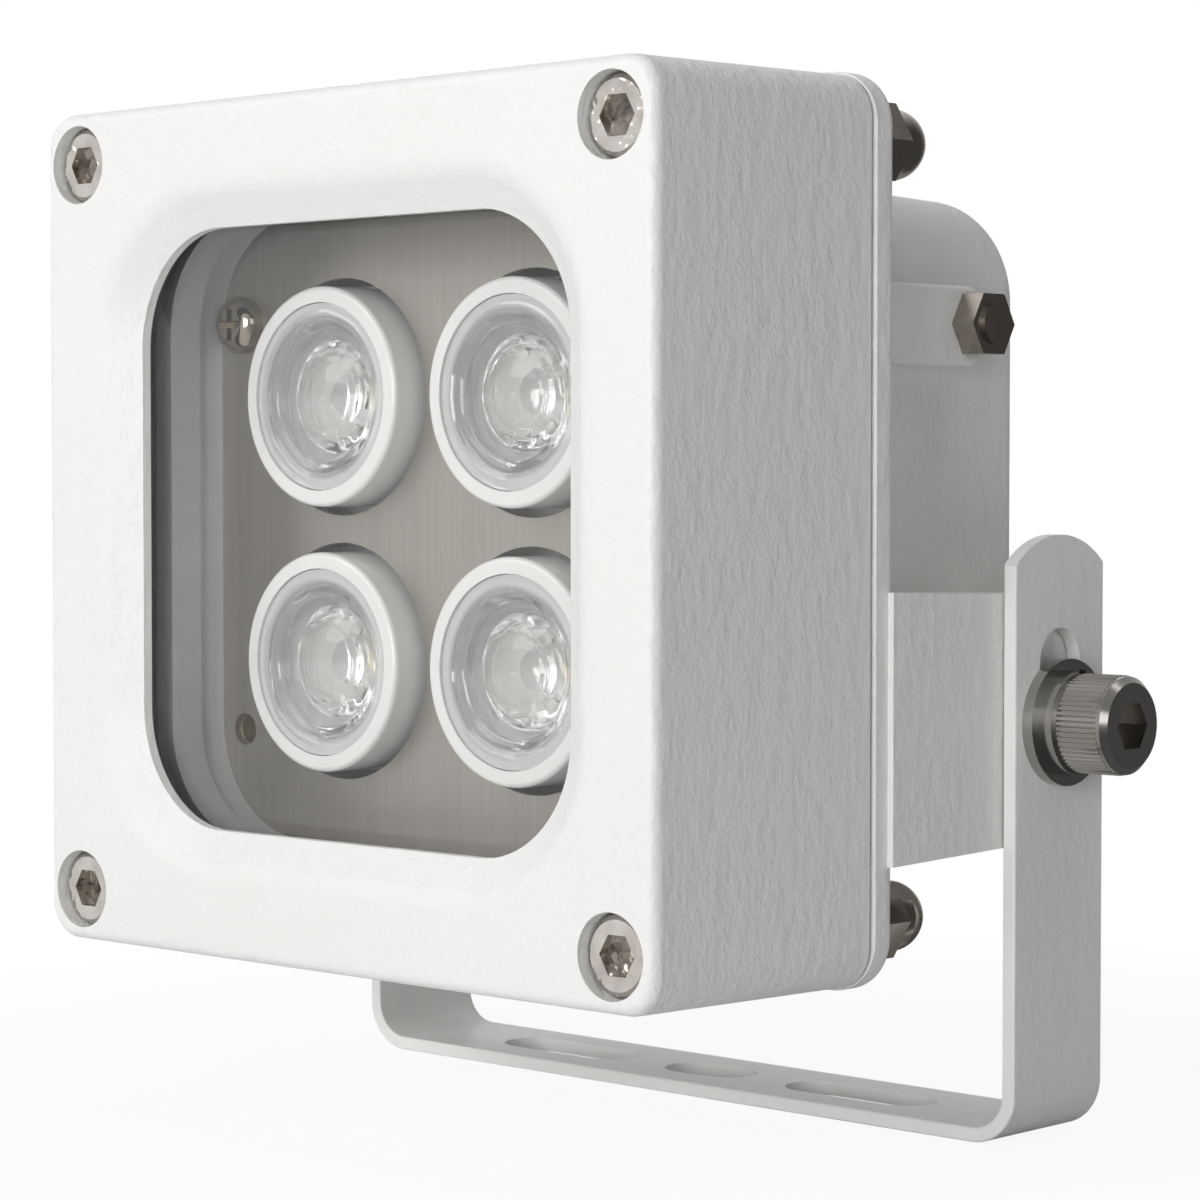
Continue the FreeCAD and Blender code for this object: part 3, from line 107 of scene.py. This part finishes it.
class Finish:
    """One material, with its patterns placed by Object coordinates in metres."""

    def __init__(self, name):
        self.material = bpy.data.materials.new(name)
        self.material.use_nodes = True
        self.tree = self.material.node_tree
        self.tree.nodes.clear()

    def add(self, kind, settings=None, sockets=None, out=0):
        return add_node(self.tree, kind, settings, sockets, out)

    def place(self, stretch=(1, 1, 1), centre=(0, 0, 0)):
        """Object coordinates about a centre, stretched along each axis."""
        where = self.add("ShaderNodeTexCoord", out="Object")
        moved = self.add("ShaderNodeVectorMath", {"operation": "SUBTRACT"}, {0: where, 1: centre})
        return self.add("ShaderNodeVectorMath", {"operation": "MULTIPLY"}, {0: moved, 1: stretch})

    def cloud(self, scale, detail=2.0, stretch=(1, 1, 1)):
        """Soft noise from 0 to 1, with features of about 1 / scale metres."""
        sockets = {"Vector": self.place(stretch), "Scale": scale, "Detail": detail}
        return self.add("ShaderNodeTexNoise", None, sockets)

    def mix(self, factor, low, high):
        """A colour between two others."""
        return self.add("ShaderNodeMix", {"data_type": "RGBA"}, {0: factor, 6: low, 7: high}, 2)

    def bump(self, height, distance, strength=1.0, under=None):
        """A relief this many metres high, laid over another where one is given."""
        sockets = {"Height": height, "Distance": distance, "Strength": strength}
        if under is not None:
            sockets["Normal"] = under
        return self.add("ShaderNodeBump", None, sockets)

    def surface(self, sockets):
        """End the material in a Principled shader with these sockets."""
        return self.end(self.add("ShaderNodeBsdfPrincipled", None, sockets))

    def end(self, shader):
        """Make this shader the material's surface."""
        self.add("ShaderNodeOutputMaterial", None, {"Surface": shader})
        return self.material


def dress(material, *names):
    """Give the whole of some CAD pieces one material."""
    for name in names:
        mesh = nodes[name].data
        mesh.materials.clear()
        mesh.materials.append(material)


def powder_coat(name, peel_depth):
    """Baked white powder: orange peel, slower lumps that run upright and a faint warm drift."""
    finish = Finish(name)
    drift = finish.cloud(22, 3.0)
    skin = None
    for scale, upright, height in ((360, 0.4, 0.00022), (700, 0.7, 0.0002), (1900, 1, 0.00008)):
        skin = finish.bump(finish.cloud(scale, 2.0, (1, 1, upright)), height, peel_depth, skin)
    return finish.surface({
        "Base Color": finish.mix(drift, (0.80, 0.795, 0.775, 1), (0.84, 0.84, 0.83, 1)),
        "Roughness": 0.36 + drift * 0.12,
        "Normal": skin,
    })


strap_coat = powder_coat("strap_powder_coat", 0.45)
dress(strap_coat, "u_bracket")


# Clamp washers. A turned flat washer and a split spring washer under each clamp screw, both
# bright zinc plated, spread the screw's grip over the painted arm.


def plated_steel(name, colour, rough):
    """Bright plate with faint clouding and fine tumbling marks."""
    finish = Finish(name)
    haze = finish.cloud(260, 3.0)
    haze_shade = 0.86
    dark = tuple(part * haze_shade for part in colour[:3]) + (1,)
    return finish.surface({
        "Base Color": finish.mix(haze, dark, colour),
        "Metallic": 1.0,
        "Roughness": rough + haze * 0.10,
        "Normal": finish.bump(finish.cloud(2600, 2.0), 0.00001, 0.25),
    })


zinc = plated_steel("bright_zinc", (0.50, 0.49, 0.47, 1), 0.12)
dress(zinc, "flat_washer_right", "flat_washer_left", "spring_washer_right", "spring_washer_left")


# Clamp screws. M8 socket cap screws of plated steel, one through each arm into the tilt boss.
# Their heads are knurled along the screw so that a hand can start them.


def knurled_band():
    """A ring of sharp ridges along the Z axis, centred on the origin."""
    tree = bpy.data.node_groups.new("knurled_band", "GeometryNodeTree")
    for name, kind in (("Radius", "Float"), ("Ridges", "Int"), ("Ridge Size", "Float"),
                       ("Length", "Float"), ("Finish", "Material")):
        tree.interface.new_socket(name, in_out="INPUT", socket_type=f"NodeSocket{kind}")
    tree.interface.new_socket("Geometry", in_out="OUTPUT", socket_type="NodeSocketGeometry")
    sizes = {name: add_node(tree, "NodeGroupInput", out=name)
             for name in ("Radius", "Ridges", "Ridge Size", "Length", "Finish")}
    ring = add_node(tree, "GeometryNodeMeshCircle", None,
                    {"Vertices": sizes["Ridges"], "Radius": sizes["Radius"]})
    ridge = add_node(tree, "GeometryNodeMeshCylinder", {"fill_type": "NGON"},
                     {"Vertices": 4, "Radius": sizes["Ridge Size"], "Depth": sizes["Length"]})
    turn = add_node(tree, "GeometryNodeInputIndex") * math.tau / sizes["Ridges"]
    spin = add_node(tree, "ShaderNodeCombineXYZ", None, {"Z": turn})
    rotation = add_node(tree, "FunctionNodeEulerToRotation", None, {0: spin})
    band = add_node(tree, "GeometryNodeInstanceOnPoints", None,
                    {"Points": ring, "Instance": ridge, "Rotation": rotation})
    solid = add_node(tree, "GeometryNodeRealizeInstances", None, {"Geometry": band})
    done = add_node(tree, "GeometryNodeSetMaterial", None,
                    {"Geometry": solid, "Material": sizes["Finish"]})
    add_node(tree, "NodeGroupOutput", None, {"Geometry": done})
    return tree


def grow(tree, name, sizes):
    """The mesh that a geometry tree makes from these sizes."""
    piece = bpy.data.objects.new(name, bpy.data.meshes.new(name))
    bpy.context.scene.collection.objects.link(piece)
    modifier = piece.modifiers.new("tree", "NODES")
    modifier.node_group = tree
    for item in tree.interface.items_tree:
        if item.in_out == "INPUT":
            modifier[item.identifier] = sizes[item.name]
    shown = piece.evaluated_get(bpy.context.evaluated_depsgraph_get())
    mesh = bpy.data.meshes.new_from_object(shown)
    piece.modifiers.remove(modifier)
    bpy.data.objects.remove(piece)
    return mesh


def join(name, meshes, body):
    """One object of several meshes, riding on a body."""
    shape = bmesh.new()
    for mesh in meshes:
        shape.from_mesh(mesh)
    whole = bpy.data.meshes.new(name)
    shape.to_mesh(whole)
    shape.free()
    for material in meshes[0].materials:
        whole.materials.append(material)
    piece = bpy.data.objects.new(name, whole)
    bpy.context.scene.collection.objects.link(piece)
    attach(piece, body)


screw_steel = plated_steel("clamp_screw_steel", (0.56, 0.535, 0.50, 1), 0.15)
dress(screw_steel, "clamp_screw_right", "clamp_screw_left")
knurl = knurled_band()
ridge_circle, ridge_count, ridge_size = 0.00635, 60, 0.00030
knurl_length, smooth_rim = 0.0062, 0.0014
for side, sign in (("right", 1), ("left", -1)):
    low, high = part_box(f"clamp_screw_{side}")
    middle_y, middle_z = (low[1] + high[1]) / 2, (low[2] + high[2]) / 2
    outer = high[0] if sign > 0 else low[0]
    centre_x = outer - sign * (smooth_rim + knurl_length / 2)
    ridges = grow(knurl, f"ridges_{side}", {
        "Radius": ridge_circle, "Ridges": ridge_count, "Ridge Size": ridge_size,
        "Length": knurl_length, "Finish": screw_steel,
    })
    place = Matrix.Translation((centre_x, middle_y, middle_z))
    ridges.transform(place @ Matrix.Rotation(math.pi / 2, 4, "Y"))
    join(f"clamp_knurling_{side}", [ridges], "clamp")


# Front housing. A square aluminium casting, open behind, with a bevelled window and four
# counterbored corners; its powder coat is thick and a little lumpy at the edges.

casting_coat = powder_coat("casting_powder_coat", 1.0)
dress(casting_coat, "front_housing")


# Window. A grey silicone gasket, 4 mm of toughened glass and a satin aluminium frame that
# presses them forwards against the housing's lip.

finish = Finish("gasket_silicone")
dust = finish.cloud(900, 3.0)
dress(finish.surface({
    "Base Color": finish.mix(dust, (0.06, 0.06, 0.063, 1), (0.10, 0.10, 0.105, 1)),
    "Roughness": 0.42 + dust * 0.2,
    "Normal": finish.bump(finish.cloud(3000), 0.00003, 0.5),
}), "window_gasket")

low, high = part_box("window_glass")
glass_middle = (low[2] + high[2]) / 2
ground_depth = 0.0001
glass_reach = high[0] - ground_depth
least_sheen, edge_sheen = 0.035, 0.9
finish = Finish("window_glass")
from_middle = finish.add("ShaderNodeVectorMath", {"operation": "ABSOLUTE"},
                         {0: finish.place(centre=(0, 0, glass_middle))})
sides = [finish.add("ShaderNodeSeparateXYZ", None, {0: from_middle}, axis) > glass_reach
         for axis in "XZ"]
ground = finish.add("ShaderNodeBsdfDiffuse", None, {"Color": (0.62, 0.65, 0.65, 1)})
facing = finish.add("ShaderNodeLayerWeight", None, {"Blend": 0.5}, "Facing")
clear = finish.add("ShaderNodeBsdfTransparent", None, {"Color": (0.975, 0.975, 0.97, 1)})
sheen = finish.add("ShaderNodeBsdfAnisotropic", None, {"Color": (1, 1, 1, 1), "Roughness": 0.02})
pane = finish.add("ShaderNodeMixShader", None,
                  {0: least_sheen + facing ** 5 * edge_sheen, 1: clear, 2: sheen})
ground_edge = finish.add("ShaderNodeMixShader", None, {0: sides[0] + sides[1], 1: pane, 2: ground})
dress(finish.end(ground_edge), "window_glass")

finish = Finish("retainer_aluminium")
haze = finish.cloud(120, 3.0, (1, 0.15, 1))
dress(finish.surface({
    "Base Color": finish.mix(haze, (0.66, 0.66, 0.69, 1), (0.76, 0.76, 0.79, 1)),
    "Metallic": 0.35,
    "Roughness": 0.42 + haze * 0.12,
    "Normal": finish.bump(finish.cloud(1500, 2.0, (1, 0.2, 1)), 0.00002, 0.4),
}), "glass_retainer")


# Mask plate. Stainless sheet brushed upright, laser cut with four lens openings. It hides the
# board, and two polished pan screws hold it to two of its four hexagon pillars.

finish = Finish("brushed_stainless")
lines = finish.cloud(1500, 3.0, (1, 1, 0.02))
patches = finish.cloud(45, 2.0, (1, 1, 0.25))
grain = lines * 0.6 + patches * 0.4
dress(finish.surface({
    "Base Color": finish.mix(grain, (0.265, 0.246, 0.224, 1), (0.41, 0.387, 0.357, 1)),
    "Metallic": 0.85,
    "Roughness": 0.34 + patches * 0.14,
    "Normal": finish.bump(lines, 0.00004, 0.5),
}), "mask_plate")

pillar_brass = plated_steel("pillar_brass", (0.62, 0.52, 0.34, 1), 0.24)
dress(pillar_brass, "mask_pillars")
polished = plated_steel("polished_pan_head", (0.33, 0.29, 0.24, 1), 0.04)
dress(polished, "mask_screws")


# Emitters. Four light chips coated with yellow phosphor under moulded domes, soldered on the
# board with one below each lens.

finish = Finish("phosphor_dome")
grain = finish.cloud(2500, 2.0)
dress(finish.surface({
    "Base Color": finish.mix(grain * 0.3 + 0.35, (0.86, 0.70, 0.16, 1), (0.92, 0.84, 0.42, 1)),
    "Roughness": 0.25 + grain * 0.1,
    "Coat Weight": 0.6,
}), "led_emitter_1", "led_emitter_2", "led_emitter_3", "led_emitter_4")


# Lens holders. Glossy white plastic mouldings, one round each lens, which stand on the board
# and show through the openings of the mask plate.

finish = Finish("holder_moulding")
flow = finish.cloud(60, 2.0)
dress(finish.surface({
    "Base Color": finish.mix(flow, (0.87, 0.87, 0.865, 1), (0.91, 0.91, 0.905, 1)),
    "Roughness": 0.16 + flow * 0.06,
    "Coat Weight": 0.3,
    "Normal": finish.bump(finish.cloud(700, 1.0), 0.00002, 0.2),
}), "lens_holder_1", "lens_holder_2", "lens_holder_3", "lens_holder_4")


# Lenses. Clear acrylic collimators that drop into the holders; light enters at the foot and
# leaves through the dished front with its central dome. The flange round it looks milky.

lens_spacing, dome_radius = 0.0362, 0.0042
flange_inner, flange_outer, least_milk, most_milk = 0.0100, 0.0118, 0.07, 0.80
ring_rate, ring_wander, ring_height, moulding_height = 4400, 5, 0.00004, 0.0003
low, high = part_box("mask_plate")
plate_middle = (low[2] + high[2]) / 2
finish = Finish("lens_acrylic")
folded = finish.add("ShaderNodeVectorMath", {"operation": "ABSOLUTE"},
                    {0: finish.place(centre=(0, 0, plate_middle))})
across = finish.add("ShaderNodeSeparateXYZ", None, {0: folded}, "X") - lens_spacing / 2
up = finish.add("ShaderNodeSeparateXYZ", None, {0: folded}, "Z") - lens_spacing / 2
radius = (across ** 2 + up ** 2) ** 0.5
drift = finish.cloud(150, 1.5)
rings = finish.add("ShaderNodeMath", {"operation": "SINE"},
                   {0: radius * ring_rate + drift * ring_wander})
waves = finish.bump(rings * (radius > dome_radius), ring_height)
moulding = finish.bump(drift, moulding_height, 1.0, waves)
clear = finish.add("ShaderNodeBsdfPrincipled", None, {
    "Base Color": (0.96, 0.96, 0.965, 1), "Roughness": 0.02 + drift * 0.03,
    "Transmission Weight": 1.0, "IOR": 1.49, "Normal": moulding,
})
milk = finish.add("ShaderNodeBsdfPrincipled", None, {
    "Base Color": finish.mix(drift, (0.66, 0.66, 0.67, 1), (0.82, 0.82, 0.83, 1)),
    "Roughness": 0.05 + drift * 0.05, "IOR": 1.9, "Normal": moulding,
})
flange = finish.add("ShaderNodeMapRange", {"interpolation_type": "SMOOTHSTEP"},
                    {"Value": radius, "From Min": flange_inner, "From Max": flange_outer,
                     "To Min": least_milk, "To Max": most_milk})
dress(finish.end(finish.add("ShaderNodeMixShader", None, {0: flange, 1: clear, 2: milk})),
      "lens_1", "lens_2", "lens_3", "lens_4")


# Light board and heat spreader. A white aluminium-cored board, screwed to a milled plate that
# carries the heat to the posts of the rear cover.

finish = Finish("white_solder_resist")
tint = finish.cloud(90, 2.0)
dress(finish.surface({
    "Base Color": finish.mix(tint, (0.72, 0.72, 0.70, 1), (0.80, 0.80, 0.78, 1)),
    "Roughness": 0.30 + tint * 0.1,
}), "led_board")

finish = Finish("milled_aluminium")
marks = finish.cloud(900, 2.0, (0.05, 1, 1))
dress(finish.surface({
    "Base Color": finish.mix(marks, (0.55, 0.55, 0.56, 1), (0.68, 0.68, 0.69, 1)),
    "Metallic": 1.0,
    "Roughness": 0.32 + marks * 0.12,
    "Normal": finish.bump(marks, 0.00002, 0.4),
}), "heat_spreader")
dress(zinc, "board_screws")


# Rear cover and seal. A second casting with a flange, a deep drafted box and two tilt bosses,
# coated like the housing; a flat rubber seal lies between the two.

dress(casting_coat, "rear_cover")
finish = Finish("seal_rubber")
dust = finish.cloud(1100, 3.0)
seal_rubber = finish.surface({
    "Base Color": finish.mix(dust, (0.025, 0.025, 0.026, 1), (0.055, 0.054, 0.052, 1)),
    "Roughness": 0.58 + dust * 0.2,
    "Normal": finish.bump(dust, 0.00003, 0.4),
})
dress(seal_rubber, "housing_seal", "gland_seal", "gland_bush")


# Corner fasteners. Four stainless cap screws in the counterbores, and behind the flange a
# washer and a domed nut on each, tightened on the seal.


def stainless(name, light, dark, rough, dents=0.0):
    """Stainless steel with slow toning, press dents and the fine grain of its skin."""
    finish = Finish(name)
    tone = finish.cloud(330, 2.0)
    pressed = finish.bump(finish.cloud(520, 1.0), dents)
    return finish.surface({
        "Base Color": finish.mix(tone, dark, light),
        "Metallic": 1.0,
        "Roughness": rough + tone * 0.12,
        "Normal": finish.bump(finish.cloud(2100, 2.0), 0.00002, 0.35, pressed),
    })


fastener_steel = stainless("fastener_stainless", (0.72, 0.69, 0.65, 1), (0.36, 0.33, 0.30, 1),
                           0.04, 0.00028)
dress(fastener_steel, "housing_screws")
rear_steel = stainless("rear_stainless", (0.50, 0.455, 0.40, 1), (0.32, 0.285, 0.25, 1), 0.10)
dress(rear_steel, "nut_washers", "domed_nuts")
low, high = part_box("housing_screws")
head_radius, smooth_rim, knurl_length = 0.005, 0.0014, 0.0042
ridge_count, ridge_size, ridge_sink = 48, 0.00022, 0.00008
heads = []
for across in (low[0] + head_radius, high[0] - head_radius):
    for up in (low[2] + head_radius, high[2] - head_radius):
        ridges = grow(knurl, "head_ridges", {
            "Radius": head_radius - ridge_sink, "Ridges": ridge_count, "Ridge Size": ridge_size,
            "Length": knurl_length, "Finish": fastener_steel,
        })
        place = Matrix.Translation((across, low[1] + smooth_rim + knurl_length / 2, up))
        ridges.transform(place @ Matrix.Rotation(math.pi / 2, 4, "X"))
        heads.append(ridges)
join("housing_screw_knurling", heads, "head")


# Earth terminal. An M5 stainless hexagon bolt, screwed into the cast ledge of the rear cover,
# that clamps the earth wire's ring terminal.

dress(rear_steel, "earth_bolt")


# Cable gland. Nickel plated body and cap nut, screwed up into the pad under the rear box, with
# a rubber bush that the nut squeezes round the cable.

dress(plated_steel("nickel_plate", (0.60, 0.57, 0.51, 1), 0.16), "gland_body", "gland_nut")


# Driver. A green board on cast posts in the rear box, with its terminal block, choke and
# capacitors, and two leads soldered down to the light board.

finish = Finish("green_solder_resist")
weave = finish.cloud(800, 2.0)
dress(finish.surface({
    "Base Color": finish.mix(weave, (0.02, 0.14, 0.05, 1), (0.04, 0.24, 0.09, 1)),
    "Roughness": 0.28 + weave * 0.1,
}), "driver_board")
dress(zinc, "driver_screws")
for name, piece, low_tone, high_tone, rough in (
        ("terminal_moulding", "terminal_block", (0.04, 0.16, 0.06, 1), (0.06, 0.22, 0.09, 1), 0.45),
        ("ferrite_and_tape", "driver_choke", (0.05, 0.045, 0.04, 1), (0.10, 0.09, 0.06, 1), 0.60),
        ("capacitor_sleeve", "driver_capacitors", (0.02, 0.025, 0.06, 1), (0.04, 0.05, 0.11, 1), 0.25),
        ("red_insulation", "lead_positive", (0.42, 0.02, 0.015, 1), (0.55, 0.04, 0.03, 1), 0.35),
        ("black_insulation", "lead_negative", (0.015, 0.015, 0.015, 1), (0.035, 0.035, 0.035, 1), 0.35)):
    finish = Finish(name)
    tone = finish.cloud(400, 2.0)
    dress(finish.surface({
        "Base Color": finish.mix(tone, low_tone, high_tone),
        "Roughness": rough + tone * 0.12,
    }), piece)


# Studio. A white floor that keeps the lamp's shadow, a white surround that metal mirrors darker
# towards the right, four soft lamps, and the camera at the photograph's angle.


def flag(tree, direction):
    """Brightness of what metal mirrors: a pale room, falling to a dark card on the right."""
    card_side, card_starts, card_full, darkest = (0.86, 0.42, -0.28), -0.45, 0.62, 0.09
    card = add_node(tree, "ShaderNodeVectorMath", {"operation": "DOT_PRODUCT"},
                    {0: direction, 1: card_side}, "Value")
    return add_node(tree, "ShaderNodeMapRange", {"interpolation_type": "SMOOTHSTEP"},
                    {"Value": card, "From Min": card_starts, "From Max": card_full,
                     "To Min": 1.0, "To Max": darkest})


def rays(tree):
    """Whether the camera, a mirrored ray or one through glass looks, each as 0 or 1."""
    return [add_node(tree, "ShaderNodeLightPath", None, None, f"Is {kind} Ray")
            for kind in ("Camera", "Glossy", "Transmission")]


floor_half, floor_drop = 4.0, 0.0004
shadow_reach, open_reach, shadow_white = 0.07, 0.20, 0.92
finish = Finish("studio_floor")
camera_ray, mirror_ray, glass_ray = rays(finish.tree)
seen = camera_ray + mirror_ray + glass_ray
under = finish.add("ShaderNodeNewGeometry", None, None, "Backfacing")
matt = finish.add("ShaderNodeBsdfDiffuse", None, {"Color": (0.86, 0.86, 0.86, 1)})
away = finish.add("ShaderNodeVectorMath", {"operation": "NORMALIZE"}, {0: finish.place()})
mirrored = mirror_ray * (flag(finish.tree, away) - 1) + 1
white = finish.add("ShaderNodeEmission", None, {"Color": (1, 1, 1, 1), "Strength": mirrored})
outwards = finish.add("ShaderNodeVectorMath", {"operation": "LENGTH"}, {0: finish.place()}, "Value")
fade = finish.add("ShaderNodeMapRange", {"interpolation_type": "SMOOTHSTEP"},
                  {"Value": outwards, "From Min": shadow_reach, "From Max": open_reach,
                   "To Min": shadow_white, "To Max": 1.0})
above = finish.add("ShaderNodeMixShader", None, {0: seen * fade, 1: matt, 2: white})
gone = finish.add("ShaderNodeBsdfTransparent", None, {"Color": (1, 1, 1, 1)})
finish.end(finish.add("ShaderNodeMixShader", None, {0: under, 1: above, 2: gone}))
sheet = bmesh.new()
bmesh.ops.create_grid(sheet, x_segments=1, y_segments=1, size=floor_half)
floor_mesh = bpy.data.meshes.new("floor")
sheet.to_mesh(floor_mesh)
sheet.free()
floor_mesh.transform(Matrix.Translation((0, 0, -floor_drop)))
floor_mesh.materials.append(finish.material)
floor = bpy.data.objects.new("floor", floor_mesh)
bpy.context.scene.collection.objects.link(floor)
floor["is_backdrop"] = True

world = bpy.data.worlds.new("studio")
bpy.context.scene.world = world
world.use_nodes = True
surround = world.node_tree
surround.nodes.clear()
direction = add_node(surround, "ShaderNodeTexCoord", out="Generated")
camera_ray, mirror_ray, glass_ray = rays(surround)
ambient = 0.16
white_seen = (camera_ray + glass_ray) * (1 - ambient)
strength = ambient + white_seen + mirror_ray * (flag(surround, direction) - ambient)
backdrop = add_node(surround, "ShaderNodeBackground", None,
                    {"Color": (1, 1, 1, 1), "Strength": strength})
add_node(surround, "ShaderNodeOutputWorld", None, {"Surface": backdrop})

aim = Vector((0, -0.03, 0.08))
for name, place, size, watts in (("key", (-0.80, -1.35, 1.0), 1.1, 10.5),
                                 ("low front", (0.36, -1.52, 0.22), 0.7, 13.6),
                                 ("fill", (1.15, -0.9, 0.40), 0.5, 1.4),
                                 ("top", (0.2, 0.3, 1.6), 1.2, 5.5)):
    lamp = bpy.data.lights.new(name, "AREA")
    lamp.size, lamp.energy = size, watts
    holder = bpy.data.objects.new(name, lamp)
    holder.location = place
    holder.rotation_euler = (aim - Vector(place)).to_track_quat("-Z", "Y").to_euler()
    bpy.context.scene.collection.objects.link(holder)

lens = bpy.data.cameras.new("camera")
lens.sensor_width, lens.lens = 36.0, 104.4
lens.clip_start, lens.clip_end = 0.01, 20.0
camera = bpy.data.objects.new("camera", lens)
look_down, turned = 2.09, 43.05
camera.location = (0.3335, -0.3808, 0.0892)
camera.rotation_euler = (math.radians(90 - look_down), 0, math.radians(turned))
bpy.context.scene.collection.objects.link(camera)
bpy.context.scene.camera = camera
bpy.context.scene.view_settings.view_transform = "Standard"

low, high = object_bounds()
